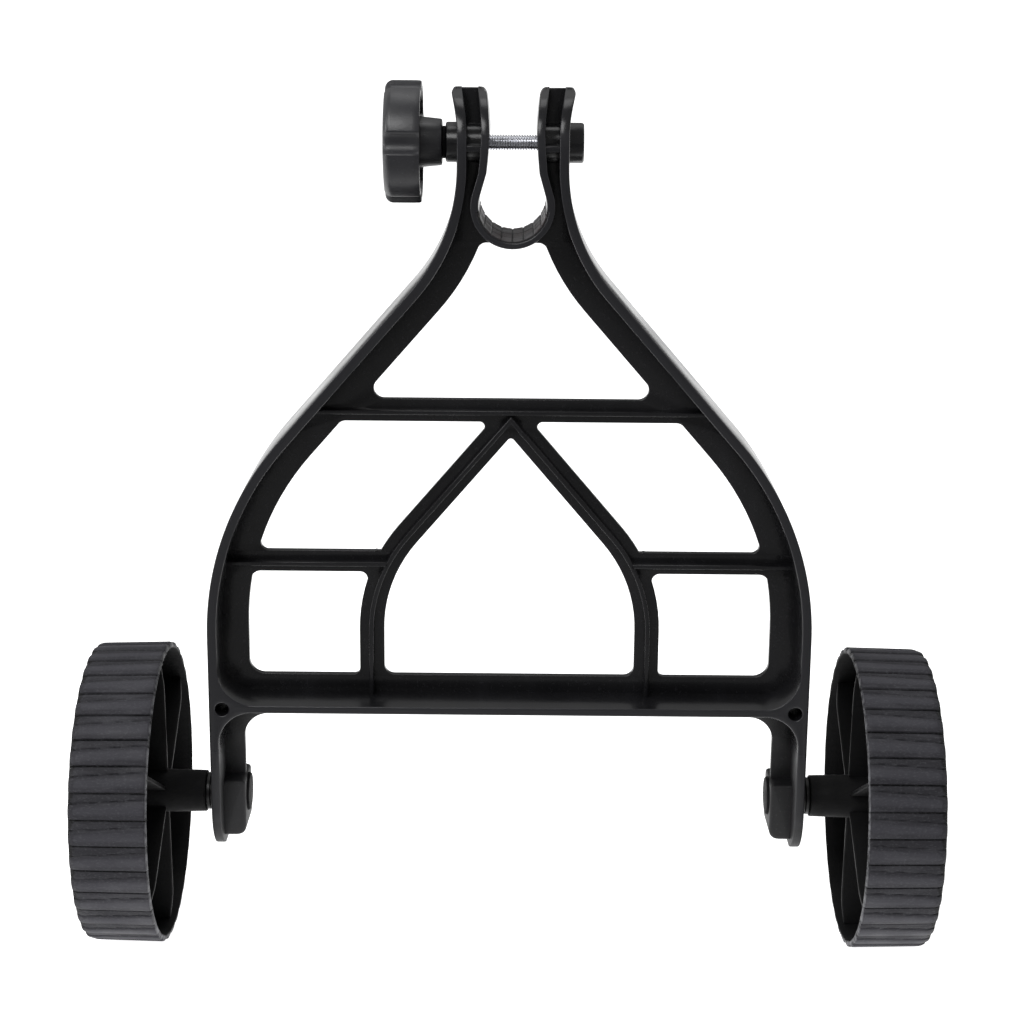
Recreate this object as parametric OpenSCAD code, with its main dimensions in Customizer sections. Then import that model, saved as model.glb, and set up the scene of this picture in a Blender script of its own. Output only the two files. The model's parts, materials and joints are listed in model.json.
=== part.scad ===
// Clamp-on two-wheel jack stand: one moulded A-frame, a screw clamp for a round tube and two wheels.
// Millimetres, +Z up, ground at Z = 0. X runs from wheel to wheel, the clamp bore runs along Y.

/* [Frame] */
// Width of the frame over its two legs
frame_w = 233.6; // [160:0.2:320]
// Depth of the frame front to back
frame_d = 41; // [24:0.5:70]
// Wall of the outer flange
flange_t = 3.6; // [2:0.1:6]
// Thickness of the mid-plane web
web_t = 3; // [2:0.1:6]
// Height where the legs start to curve inwards
shoulder_z = 131.7; // [100:0.1:180]
// Lean of the two straight sides above the horizontal
side_lean = 48.9; // [40:0.1:70]
// Width of the neck over its outer flanges
neck_w = 41.2; // [30:0.2:70]
// Radius of the curve from the sides into the neck
neck_r = 71; // [30:1:120]
// Underside of the bottom bar
bar_z = 100.4; // [80:0.2:130]
// Web left along the outer flange
margin = 10.4; // [5:0.1:20]
// Depth of the inner ribs front to back
rib_d = 13.4; // [6:0.2:30]
// Thickness of the inner ribs
rib_t = 1.7; // [1:0.1:4]

/* [Clamp] */
// Diameter of the tube the clamp holds
tube_d = 25.3; // [16:0.1:40]
// Height of the tube's centre
tube_z = 297.85; // [250:0.1:340]
// Wall of the clamp ring
ring_t = 3; // [1.5:0.1:5]
// Thickness of the grip liner
liner_t = 0.8; // [0.4:0.1:2]
// Gap between the two ears
ear_gap = 17.4; // [8:0.2:30]
// Height of the clamp screw
screw_z = 319.5; // [290:0.1:380]
// Diameter of the clamp screw
screw_d = 6; // [4:1:10]

/* [Knob] */
// Diameter of the knob
knob_d = 45.2; // [30:0.5:70]
// Number of grip lobes
lobes = 5; // [3:1:8]
// Depth of the knob's disc
knob_t = 14; // [8:0.5:25]

/* [Wheels] */
// Diameter of each wheel
wheel_d = 120; // [80:1:200]
// Width of each wheel
wheel_w = 29.9; // [15:0.1:60]
// Distance from the middle plane to the wheel's inner rim
wheel_x = 136; // [100:0.5:200]
// Number of tread lugs
lugs = 36; // [12:1:60]
// Depth of the tread grooves
groove_t = 0.8; // [0.3:0.1:3]
// Diameter of the axles
axle_d = 8; // [5:1:12]

/* [Hidden] */
$fn = 96;
half_w = frame_w / 2;
half_d = frame_d / 2;
axle_z = wheel_d / 2;
tilt = 90 - side_lean;              // normal of a straight side, above the horizontal
normal = [cos(tilt), sin(tilt)];
side_k = shoulder_z * sin(tilt) + half_w;
neck_z = (side_k - neck_w / 2 * cos(tilt) + neck_r * (1 - cos(tilt))) / sin(tilt);
ear_z = screw_z + 11.6;             // where the ears start to flare
top_z = screw_z + half_d;
flare = 2.8;
bar_t = 3.1;
inset = flange_t + margin;          // outer face to window edge
cross_z = 217.65;                   // upper cross rib
cross_h = 8.9;
mid_z = 157.1;                      // lower cross ribs
mid_h = 8.6;
bar_web = 7;                        // web above the bottom bar
leg_x = half_w - flange_t;          // inner face of a leg's flange
leg_web = 7.8;
under_z = bar_z - 6.8;              // lower edge of the web under the bar
arch_half = 54.2;                   // centre line of the arch rib
arch_r = 59.2;
arch_z = 129.6;
arch_lean = 49.5;
arch_w = 9.7;
hole_x = 111.75;
hole_z = 101.8;
hole_r = 2.65;
bore_r = tube_d / 2;
collar_r = 7.5;
collar_left = 25.2;
collar_right = 26.3;
nut_af = 10;
nut_t = 5;
boss_d = 20.4;
boss_x = 104.6;                     // inner face of a leg boss
boss_top = 68.1;
boss_low = 45;
washer_t = 1.3;
knob_back = 34;
hub_end = collar_left + washer_t;
hub_x = 121;                        // inner end of a wheel's hub tube
hub_r = 8.25;
seat_x = 153;                       // floor of the hub's nut pocket
cup_x = 163.2;                      // outer end of the hub
cup_r = 13;
pocket_r = 10;
disc_x = 157.5;
play = 0.06;                        // running clearance of the wheels
gap = 0.1;                          // end clearance of the wheels
e = 0.05;
bite = 0.003;                       // arcs cut this far past a tangent, for a clean joint

// ---- helpers ----

// Front-view shape extruded evenly to both sides of the mid plane
module plate(depth) {
    rotate([90, 0, 0])
        linear_extrude(height = depth, center = true)
            children();
}

module both_sides() {
    children();
    mirror([1, 0, 0])
        children();
}

// Drum along +X between two distances from the mid plane
module drum(r, x0, x1, z) {
    translate([x0, 0, z])
        rotate([0, 90, 0])
            cylinder(r = r, h = x1 - x0);
}

module hex_drum(across, x0, x1, z) {
    translate([x0, 0, z])
        rotate([0, 90, 0])
            cylinder(r = across / 2 / cos(30), h = x1 - x0, $fn = 6);
}

// The bit of material that rounds a window corner at v, between edges that leave it at a1 and a2
module corner(v, a1, a2, r) {
    half = (a2 - a1) / 2;
    mid = (a1 + a2) / 2;
    reach = r / tan(half);
    centre = v + r / sin(half) * [cos(mid), sin(mid)];
    difference() {
        polygon([v - e * [cos(mid), sin(mid)],
                 v + reach * [cos(a1), sin(a1)],
                 centre,
                 v + reach * [cos(a2), sin(a2)]]);
        translate(centre)
            circle(r = r + bite);
    }
}

module block(x0, z0, x1, z1) {
    translate([x0, z0])
        square([x1 - x0, z1 - z0]);
}

// ---- frame, front-view shapes ----

// Outer shape of the frame's right half, shrunk by d
module half_outline(d) {
    r1 = half_w - d;
    r2 = neck_r + d;
    along = [-normal[1], normal[0]];
    t1 = [0, shoulder_z] + r1 * normal;
    c2 = [neck_w / 2 + neck_r, neck_z];
    t2 = c2 - r2 * normal;
    flat = neck_w / 2 - d;
    difference() {
        union() {
            block(0, 0, r1, shoulder_z);
            intersection() {
                translate([0, shoulder_z])
                    circle(r = r1 + bite, $fn = 180);
                polygon([[0, shoulder_z - 3], [2 * r1, shoulder_z - 3],
                         [0, shoulder_z] + 2 * r1 * normal, [0, shoulder_z]]);
            }
            polygon([[0, shoulder_z], [r1 * 0.7, shoulder_z], t1 - 0.3 * along, t2, [0, t2[1]]]);
            block(0, t2[1] - 1, t2[0], neck_z);
            block(0, neck_z - 3, flat, ear_z);
            polygon([[0, ear_z], [flat, ear_z], [flat + flare, top_z + 1], [0, top_z + 1]]);
        }
        translate(c2)
            circle(r = r2 + bite, $fn = 180);
    }
}

// Clamp bore with the throat between the ears, widened by grow
module throat(grow) {
    half_gap = ear_gap / 2 + grow;
    translate([0, tube_z])
        circle(r = bore_r + grow);
    polygon([[-half_gap - 3.5, tube_z + 3], [-half_gap - 1, tube_z + 12], [-half_gap - 0.4, screw_z - 3],
             [-half_gap, screw_z + 4], [-half_gap, ear_z], [-half_gap - 1.5, top_z + 2],
             [half_gap + 1.5, top_z + 2], [half_gap, ear_z], [half_gap, screw_z + 4],
             [half_gap + 0.4, screw_z - 3], [half_gap + 1, tube_z + 12], [half_gap + 3.5, tube_z + 3]]);
}

// Triangle window between the clamp ring and the upper cross rib
module upper_window() {
    low = cross_z + cross_h / 2;
    high = 282.2;
    foot = (side_k - inset - low * normal[1]) / normal[0];
    shoulder = neck_w / 2 + neck_r - sqrt(pow(neck_r + inset, 2) - pow(neck_z - high, 2));
    difference() {
        intersection() {
            both_sides()
                half_outline(inset);
            block(-half_w, low, half_w, high);
        }
        throat(ring_t);
        both_sides() {
            corner([foot, low], 180 - side_lean, 180, 4);
            corner([shoulder, high], 180, 180 + 113, 3.5);
        }
    }
}

// Region inside the arch rib, shifted by d across the rib
module arch_area(d) {
    lean = 90 - arch_lean;
    n = [cos(lean), sin(lean)];
    c1 = [arch_half - arch_r, arch_z];
    r = arch_r + d;
    peak = (c1 * n + r) / n[1];
    both_sides() {
        block(0, bar_z, c1[0] + r, arch_z);
        intersection() {
            translate(c1)
                circle(r = r + bite);
            polygon([c1 - [0, 2], c1 + [2 * r, -2], c1 + 2 * r * n, c1]);
        }
        polygon([[0, arch_z], c1 + [r * 0.7, 0], c1 + r * n + 0.2 * [n[1], -n[0]], [0, peak]]);
    }
}

module centre_window() {
    low = bar_z + bar_t + bar_web;
    wall = arch_half - arch_w / 2;
    peak = (([arch_half - arch_r, arch_z] * [sin(arch_lean), cos(arch_lean)]) + arch_r - arch_w / 2)
           / cos(arch_lean);
    difference() {
        intersection() {
            arch_area(-arch_w / 2);
            block(-half_w, low, half_w, top_z);
        }
        both_sides()
            corner([wall, low], 90, 180, 4);
        corner([0, peak], 180 + arch_lean, 360 - arch_lean, 1.5);
    }
}

// The two windows on the right of the arch
module side_windows() {
    high = cross_z - cross_h / 2;
    sill = mid_z + mid_h / 2;
    head = mid_z - mid_h / 2;
    low = bar_z + bar_t + bar_web;
    wall = half_w - inset;
    arch_k = [arch_half - arch_r, arch_z] * [sin(arch_lean), cos(arch_lean)] + arch_r + arch_w / 2;
    arch_at_high = (arch_k - high * cos(arch_lean)) / sin(arch_lean);
    arch_at_sill = (arch_k - sill * cos(arch_lean)) / sin(arch_lean);
    arch_at_low = arch_half + arch_w / 2;
    arch_at_head = arch_half - arch_r + sqrt(pow(arch_r + arch_w / 2, 2) - pow(head - arch_z, 2));
    side_at_high = (side_k - inset - high * normal[1]) / normal[0];
    side_at_sill = sqrt(wall * wall - pow(sill - shoulder_z, 2));
    difference() {
        intersection() {
            half_outline(inset);
            block(0, low, half_w, high);
        }
        arch_area(arch_w / 2);
        block(0, head, half_w, sill);
        corner([arch_at_high, high], 360 - arch_lean, 360, 2);
        corner([side_at_high, high], 180, 360 - side_lean + 2, 4);
        corner([side_at_sill, sill], 107, 180, 3);
        corner([arch_at_sill, sill], 0, 180 - arch_lean, 3);
        corner([arch_at_head, head], 270 + 17, 360, 3);
        corner([wall - 1.5, head], 180, 275, 4);
        corner([wall, low], 90, 180, 6);
        corner([arch_at_low, low], 0, 90, 2.5);
    }
}

// Space inside the outer flange, above the bottom bar
module flange_inside() {
    floor_z = bar_z + bar_t;
    difference() {
        intersection() {
            both_sides()
                half_outline(flange_t);
            block(-half_w, floor_z, half_w, top_z + 2);
        }
        both_sides()
            corner([leg_x, floor_z], 90, 180, 14);
        throat(ring_t);
    }
}

// Space between the legs, with rounded upper corners
module leg_gap(x, z, r) {
    difference() {
        block(-x, -1, x, z);
        both_sides()
            corner([x, z], 180, 270, r);
    }
}

module outline() {
    both_sides()
        half_outline(0);
}

module flange_shape() {
    difference() {
        outline();
        flange_inside();
        leg_gap(leg_x, bar_z, 13);
        throat(0);
    }
}

module web_shape() {
    difference() {
        outline();
        upper_window();
        centre_window();
        both_sides()
            side_windows();
        leg_gap(leg_x - leg_web, under_z, 9.5);
        throat(0);
        block(-half_w - 1, -1, half_w + 1, axle_z - 2);
    }
}

// Inner ribs: cross rib, two short ribs and the arch
module rib_shape() {
    half = rib_t / 2;
    intersection() {
        both_sides()
            half_outline(flange_t / 2);
        union() {
            block(-half_w, cross_z - half, half_w, cross_z + half);
            difference() {
                block(-half_w, mid_z - half, half_w, mid_z + half);
                arch_area(0);
            }
            difference() {
                intersection() {
                    arch_area(half);
                    block(-half_w, bar_z + 1, half_w, cross_z);
                }
                arch_area(-half);
            }
        }
    }
}

// ---- frame, solid details ----

// Side-view limit: round ears at the top, round leg ends at the bottom
module side_limit() {
    rotate([90, 0, 90])
        linear_extrude(height = frame_w + 20, center = true)
            union() {
                translate([0, axle_z])
                    circle(r = half_d);
                translate([0, screw_z])
                    circle(r = half_d);
                translate([-half_d, axle_z])
                    square([frame_d, screw_z - axle_z]);
            }
}

// Block behind each leg end that carries the axle, its lower inner corner rounded
module leg_boss() {
    plate(boss_d)
        difference() {
            block(boss_x, boss_low, leg_x + 1, boss_top);
            corner([boss_x, boss_low], 0, 90, 6.5);
        }
}

// Screw boss through an ear with a flat rib in the screw's plane
module ear_boss(end_x) {
    drum(collar_r, ear_gap / 2 + 1, end_x, screw_z);
    translate([ear_gap / 2 + 1, -half_d + 1, screw_z - 1.9])
        cube([neck_w / 2 - ear_gap / 2 - 2, frame_d - 2, 2.2]);
}

module frame() {
    color([0.09, 0.09, 0.1])
        difference() {
            union() {
                intersection() {
                    union() {
                        plate(frame_d)
                            flange_shape();
                        plate(web_t)
                            web_shape();
                        plate(rib_d)
                            rib_shape();
                    }
                    side_limit();
                }
                both_sides()
                    leg_boss();
                mirror([1, 0, 0])
                    ear_boss(collar_left);
                ear_boss(collar_right);
            }
            both_sides() {
                translate([hole_x, 0, hole_z])
                    rotate([90, 0, 0])
                        cylinder(r = hole_r, h = frame_d + 2, center = true);
                drum(axle_d / 2 + 0.15, boss_x - 1, half_w + 1, axle_z);
            }
            drum(screw_d / 2 + 0.3, -30, 30, screw_z);
            hex_drum(nut_af + 0.1, collar_right - nut_t - 0.5, collar_right + 1, screw_z);
            liner_sweep(bore_r - 1, bore_r + liner_t, frame_d + 1);
        }
}

// ---- clamp ----

// Lower part of a sleeve around the tube
module liner_sweep(r0, r1, length) {
    plate(length)
        translate([0, tube_z])
            intersection() {
                difference() {
                    circle(r = r1);
                    circle(r = r0);
                }
                polygon([[0, 0], [-30, -5.3], [-30, -30], [30, -30], [30, -5.3]]);
            }
}

module tube_liner() {
    color([0.16, 0.16, 0.17])
        liner_sweep(bore_r, bore_r + liner_t, frame_d - 1);
}

// Screw with its hex head buried in the knob
module clamp_screw() {
    color([0.75, 0.76, 0.78]) {
        drum(screw_d / 2, -knob_back - 10, collar_right - 0.6, screw_z);
        hex_drum(nut_af, -knob_back - 10, -knob_back - 6, screw_z);
    }
}

module knob() {
    edge_x = knob_back + knob_t;
    notch_r = 4.65;
    notch_at = knob_d / 2 + 2.1;
    color([0.2, 0.2, 0.21])
        mirror([1, 0, 0])
            difference() {
                translate([0, 0, screw_z])
                    rotate([0, 90, 0])
                        difference() {
                            rotate_extrude()
                                polygon([[0, hub_end], [8.6, hub_end], [9.4, knob_back], [9.4, knob_back + 9],
                                         [17.8, knob_back + 9.6], [18.2, knob_back],
                                         [knob_d / 2, knob_back], [knob_d / 2, edge_x - 3.4],
                                         [knob_d / 2 - 0.8, edge_x - 1.9], [knob_d / 2 - 2.2, edge_x - 1.1],
                                         [15, edge_x - 0.2], [8, edge_x + 0.3], [0, edge_x + 0.5]]);
                            for (i = [0 : lobes - 1])
                                rotate([0, 0, i * 360 / lobes - 3])
                                    translate([0, -notch_at, knob_back - 1])
                                        cylinder(r = notch_r, h = knob_t + 3);
                        }
                drum(screw_d / 2 + 0.02, hub_end - 1, knob_back + 8, screw_z);
                hex_drum(nut_af + 0.04, knob_back + 5.98, knob_back + 10.02, screw_z);
            }
}

module clamp_washer() {
    color([0.7, 0.71, 0.73])
        mirror([1, 0, 0])
            difference() {
                drum(6, collar_left + e, hub_end - e, screw_z);
                drum(screw_d / 2 + 0.2, collar_left - 1, hub_end + 1, screw_z);
            }
}

module clamp_nut() {
    color([0.72, 0.73, 0.75])
        difference() {
            hex_drum(nut_af, collar_right - nut_t - 0.4, collar_right - 0.4, screw_z);
            drum(screw_d / 2 + 0.05, 15, collar_right + 1, screw_z);
        }
}

// ---- wheels ----

// Rim, outer disc, inner ribs and hub in one moulding, axis along +X
module wheel() {
    out_x = wheel_x + wheel_w;
    r = wheel_d / 2;
    wall = 1.9;
    difference() {
        translate([0, 0, axle_z])
            rotate([0, 90, 0])
                union() {
                    difference() {
                        rotate_extrude($fn = 144)
                            polygon([[r - wall - 0.7, wheel_x], [r, wheel_x + 0.4], [r - 0.6, out_x - 3.4],
                                     [r - 1, out_x - 1.2], [r - 1.9, out_x], [r - 3.9, out_x],
                                     [r - 3.9, disc_x + 3], [r - 3.4, disc_x]]);
                        for (i = [0 : lugs - 1])
                            rotate([0, 0, (i + 0.5) * 360 / lugs])
                                translate([r - groove_t, -0.9, wheel_x - 1])
                                    rotate([0, -1.3, 0])
                                        cube([5, 1.8, wheel_w + 2]);
                    }
                    rotate_extrude()
                        polygon([[cup_r - 1, seat_x - 3], [cup_r, disc_x - 1], [r - 3.4, disc_x - 1],
                                 [r - 3.4, disc_x + 1.6], [cup_r + 2, disc_x + 2.6], [cup_r, disc_x + 4],
                                 [cup_r, cup_x], [1, cup_x], [1, hub_x], [hub_r, hub_x],
                                 [hub_r + 0.7, seat_x - 3]]);
                    for (i = [0 : 5])
                        rotate([0, 0, 3 + i * 60])
                            translate([hub_r - 1, -0.9, wheel_x + 0.5])
                                cube([r - wall - hub_r - 0.2, 1.8, disc_x - wheel_x]);
                }
        drum(axle_d / 2 + play, hub_x - 1, cup_x + 1, axle_z);
        drum(pocket_r, seat_x, cup_x + 1, axle_z);
    }
}

module left_wheel() {
    color([0.2, 0.2, 0.2])
        mirror([1, 0, 0])
            wheel();
}

module right_wheel() {
    color([0.2, 0.2, 0.2])
        wheel();
}

// Axle with a flat round head against the leg boss
module axle() {
    drum(axle_d / 2, boss_x - 0.6, cup_x - 1, axle_z);
    translate([boss_x - 1, 0, axle_z])
        rotate([0, 90, 0])
            cylinder(r1 = 7.2, r2 = 7.8, h = 1);
}

module left_axle() {
    color([0.1, 0.1, 0.1])
        mirror([1, 0, 0])
            axle();
}

module right_axle() {
    color([0.1, 0.1, 0.1])
        axle();
}

// Stepped spacer between a leg and the hub tube
module spacer() {
    difference() {
        union() {
            drum(7.4, half_w, half_w + 1.6, axle_z);
            drum(6.2, half_w + 1, hub_x - 1.5, axle_z);
            drum(7.4, hub_x - 1.6, hub_x - gap, axle_z);
        }
        drum(axle_d / 2 + 0.1, half_w - 1, hub_x + 1, axle_z);
    }
}

module left_spacer() {
    color([0.08, 0.08, 0.08])
        mirror([1, 0, 0])
            spacer();
}

module right_spacer() {
    color([0.08, 0.08, 0.08])
        spacer();
}

module outer_washer() {
    difference() {
        drum(8, seat_x + gap, seat_x + 1.6, axle_z);
        drum(axle_d / 2 + 0.1, seat_x - 1, seat_x + 3, axle_z);
    }
}

module left_outer_washer() {
    color([0.7, 0.71, 0.73])
        mirror([1, 0, 0])
            outer_washer();
}

module right_outer_washer() {
    color([0.7, 0.71, 0.73])
        outer_washer();
}

module axle_nut() {
    difference() {
        hex_drum(13, seat_x + 1.6, seat_x + 8.1, axle_z);
        drum(axle_d / 2 + 0.03, seat_x, seat_x + 10, axle_z);
    }
}

module left_axle_nut() {
    color([0.72, 0.73, 0.75])
        mirror([1, 0, 0])
            axle_nut();
}

module right_axle_nut() {
    color([0.72, 0.73, 0.75])
        axle_nut();
}

// Cap that snaps into the hub's nut pocket
module hub_cap() {
    translate([0, 0, axle_z])
        rotate([0, 90, 0])
            rotate_extrude()
                polygon([[0, cup_x + 0.3], [8.4, cup_x + 0.3], [8.4, cup_x - 6], [pocket_r - 0.05, cup_x - 6],
                         [pocket_r - 0.05, cup_x], [cup_r, cup_x], [cup_r - 0.4, cup_x + 1.1],
                         [9.5, cup_x + 1.8], [0, cup_x + 2.2]]);
}

module left_hub_cap() {
    color([0.1, 0.1, 0.11])
        mirror([1, 0, 0])
            hub_cap();
}

module right_hub_cap() {
    color([0.1, 0.1, 0.11])
        hub_cap();
}

// ---- nodes ----

frame();
tube_liner();
clamp_screw();
knob();
clamp_washer();
clamp_nut();
left_wheel();
right_wheel();
left_axle();
right_axle();
left_spacer();
right_spacer();
left_outer_washer();
right_outer_washer();
left_axle_nut();
right_axle_nut();
left_hub_cap();
right_hub_cap();
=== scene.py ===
"""Looks of the clamp-on two-wheel jack stand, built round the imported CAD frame."""
import json
import math

import bmesh
import bpy
import numpy as np
from mathutils import Matrix, Vector
from mathutils.geometry import tessellate_polygon


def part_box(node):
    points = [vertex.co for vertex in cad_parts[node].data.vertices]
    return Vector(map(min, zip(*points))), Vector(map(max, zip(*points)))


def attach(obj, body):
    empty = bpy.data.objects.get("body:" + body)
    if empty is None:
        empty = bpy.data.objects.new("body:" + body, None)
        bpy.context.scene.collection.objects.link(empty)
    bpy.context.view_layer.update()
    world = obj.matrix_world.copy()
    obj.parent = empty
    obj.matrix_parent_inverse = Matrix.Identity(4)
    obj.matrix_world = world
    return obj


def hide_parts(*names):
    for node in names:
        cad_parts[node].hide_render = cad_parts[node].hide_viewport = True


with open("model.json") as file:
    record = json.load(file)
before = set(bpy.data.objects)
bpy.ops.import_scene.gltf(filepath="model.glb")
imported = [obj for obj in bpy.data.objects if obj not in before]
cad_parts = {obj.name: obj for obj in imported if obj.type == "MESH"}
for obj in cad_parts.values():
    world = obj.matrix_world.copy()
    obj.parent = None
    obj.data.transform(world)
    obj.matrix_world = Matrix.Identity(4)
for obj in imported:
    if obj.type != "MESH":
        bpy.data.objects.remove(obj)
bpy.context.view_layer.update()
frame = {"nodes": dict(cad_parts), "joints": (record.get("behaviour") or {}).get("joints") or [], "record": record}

# ---- sizes in millimetres, read from the CAD where it has them ----

MM = 0.001
mounts = {m["name"]: m for m in frame["record"]["mounts"]}
joints = {j["name"]: j for j in frame["joints"]}


def cad(node):
    """A CAD node's low and high corner in millimetres."""
    low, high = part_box(node)
    return np.array(low) / MM, np.array(high) / MM


frame_low, frame_high = cad("frame")
wheel_low, wheel_high = cad("right_wheel")
HALF_W = frame_high[0]
HALF_D = frame_high[1]
TOP_Z = frame_high[2]
LEG_END = frame_low[2]
TUBE_Z = mounts["tube_clamp"]["pos_m"][2] / MM
BORE_R = mounts["tube_clamp"]["dims"]["r_mm"]
HOLE_X = mounts["corner_holes"]["dims"]["spacing_x_mm"] / 2
HOLE_Z = mounts["corner_holes"]["pos_m"][2] / MM
HOLE_R = mounts["corner_holes"]["dims"]["hole_r_mm"]
AXLE_Z = joints["right_wheel_spin"]["pos_m"][2] / MM
SCREW_Z = joints["knob_turn"]["pos_m"][2] / MM

# Walls of the frame. WEB and RIB_D are half depths.
FLANGE = 3.6
WEB = 1.5
RIB_T = 1.7
RIB_D = 6.7
RIB_SOFT = 0.35
RING = 3.0
LINER = 0.8

# Outline of the frame: its straight sides rise at LEAN degrees from the shoulders to the neck.
LEAN = 48.9
TILT = math.radians(90 - LEAN)
SHOULDER_Z = 131.7
NECK_W = 41.2
NECK_R = 71.0
NECK_Z = ((SHOULDER_Z * math.sin(TILT) + HALF_W - NECK_W / 2 * math.cos(TILT)
           + NECK_R * (1 - math.cos(TILT))) / math.sin(TILT))
FLARE = 2.9
FLARE_Z = SCREW_Z + 5
FLARE_CURVE = 1.7
EAR_GAP = 8.7

# Bar between the legs, the web's lower edge, the level ribs and the pointed arch.
BAR_Z = 100.4
BAR_T = 3.1
UNDER_Z = BAR_Z - 6.8
LEG_WEB_X = HALF_W - FLANGE - 7.8
CROSS_Z = 217.65
MID_Z = 157.1
ARCH_HALF = 54.2
ARCH_R = 59.2
ARCH_Z = 129.6
ARCH_LEAN = 49.5

# Block at a leg's end that carries the axle: its inner side, lower and upper edge and half depth.
BOSS_X = 104.6
BOSS_LOW = 45.0
BOSS_TOP = 68.1
BOSS_D = 10.2

# The legs turn from glossy to matt between these heights.
GLOSS_Z = 86
MATT_Z = 78

# Collars on the ears: where they start and end along the screw, and their radii.
COLLAR_X = 9.7
COLLAR_R = 7.5
COLLAR_BORE = 3.3
LEFT_COLLAR_X = 25.2
RIGHT_COLLAR_X = 26.3

# The M6 screw, and the knob with its first notch at KNOB_TURN degrees.
SCREW_R = 3.0
THREAD_D = 0.6
PITCH = 1.0
KNOB_R = 22.6
KNOB_BACK = 34.0
KNOB_TURN = 177
LOBES = 5

# Wheels: places along the axle, the tread's taper, the lugs' turn on each side as a share of one lug,
# the ribs and what sits on the axle.
IN_X = 136.0
OUT_X = wheel_high[0]
HUB_X = wheel_low[0]
DISC_X = 157.5
SEAT_X = 153.0
CUP_R = 13.0
LIP_R = 58.1
TREAD_R = 59.97
TREAD_FALL = 0.6
TREAD_RUN = 26.5
LUGS = 36
LUG_TURN = {-1: 0.46, 1: -0.1}
RIBS = 6
RIB_TURN = 33
AXLE_R = 4
AXLE_BORE = 4.1
WASHER_X = SEAT_X + 0.1
NUT_X = WASHER_X + 1.5

# ---- mesh helpers ----


def arc(cx, cz, radius, a0, a1, count=16):
    """Points on a circle from angle a0 to a1 in degrees, both ends included."""
    angles = np.radians(np.linspace(a0, a1, count + 1))
    return [(cx + radius * math.cos(a), cz + radius * math.sin(a)) for a in angles]


def mirrored(points):
    """The outline on the other side of the middle, run the other way."""
    return [(-x, z) for x, z in reversed(points)]


def soften(points, radius, count=4, closed=False):
    """The same outline with its corners rounded. radius is one number or one per point."""
    points = [np.array(p, float) for p in points]
    radii = [radius] * len(points) if np.isscalar(radius) else list(radius)
    made = []
    for i, p in enumerate(points):
        ends = not closed and i in (0, len(points) - 1)
        if ends or radii[i] <= 0:
            made.append(tuple(p))
            continue
        before, after = points[i - 1], points[(i + 1) % len(points)]
        u, v = before - p, after - p
        lu, lv = np.linalg.norm(u), np.linalg.norm(v)
        u, v = u / lu, v / lv
        half = math.acos(max(-1, min(1, float(u @ v)))) / 2
        if half > math.radians(87):
            made.append(tuple(p))
            continue
        reach = min(radii[i] / math.tan(half), 0.45 * lu, 0.45 * lv)
        a, b = p + u * reach, p + v * reach
        for t in np.linspace(0, 1, count + 1):
            made.append(tuple((1 - t) ** 2 * a + 2 * t * (1 - t) * p + t ** 2 * b))
    return made


def area(loop):
    """Area of a loop, positive where it runs anticlockwise."""
    x, z = np.array(loop).T
    return 0.5 * float(np.sum(x * np.roll(z, -1) - np.roll(x, -1) * z))


def tidy(loop, least=0.02):
    """A loop without points that lie on top of each other and without spikes."""
    kept = []
    for p in loop:
        if not kept or math.dist(p, kept[-1]) > least:
            kept.append(p)
    if math.dist(kept[0], kept[-1]) <= least:
        kept.pop()
    while True:
        p = np.array(kept)
        ahead, behind = np.roll(p, -1, 0) - p, p - np.roll(p, 1, 0)
        cosine = (ahead * behind).sum(1) / np.linalg.norm(ahead, axis=1) / np.linalg.norm(behind, axis=1)
        spikes = np.flatnonzero(cosine < -0.5)
        if not len(spikes):
            return kept
        kept.pop(int(spikes[0]))


def inward(loop):
    """For each point, the step into the material that keeps the walls parallel."""
    p = np.array(loop)
    ahead = np.roll(p, -1, 0) - p
    ahead /= np.linalg.norm(ahead, axis=1)[:, None]
    normal = np.stack([-ahead[:, 1], ahead[:, 0]], 1)
    both = normal + np.roll(normal, 1, 0)
    both /= np.linalg.norm(both, axis=1)[:, None]
    cosine = np.clip((both * normal).sum(1), 0.5, 1)
    return both / cosine[:, None]


def slab(loops, depth, soft, steps=3):
    """A plate across Y with rounded rims: the outer loop, then its holes. depth is a number or f(z)."""
    loops = [tidy(l) for l in loops]
    loops = [l if (area(l) > 0) == (i == 0) else l[::-1] for i, l in enumerate(loops)]
    reach = depth if callable(depth) else (lambda z: np.full(len(z), float(depth)))
    verts, faces, first = [], [], []
    phis = np.linspace(0, math.pi / 2, steps + 1)
    rows = [(+1, f) for f in phis[::-1]] + [(-1, f) for f in phis]
    for loop in loops:
        p, step = np.array(loop), inward(loop)
        start, n = len(verts), len(loop)
        first.append((start, n))
        for sign, f in rows:
            q = p + step * soft * (1 - math.cos(f))
            y = sign * np.maximum(reach(p[:, 1]) - soft * (1 - math.sin(f)), 0.03)
            verts += [(a, b, c) for (a, c), b in zip(q, y)]
        for k in range(len(rows) - 1):
            for i in range(n):
                a, b = start + k * n + i, start + k * n + (i + 1) % n
                faces.append((a, b, b + n, a + n))
    for row in (0, len(rows) - 1):
        index = [s + row * n + i for s, n in first for i in range(n)]
        flat = [[Vector((verts[s + row * n + i][0], verts[s + row * n + i][2], 0)) for i in range(n)]
                for s, n in first]
        faces += [tuple(index[i] for i in t) for t in tessellate_polygon(flat)]
    return np.array(verts), faces


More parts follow.
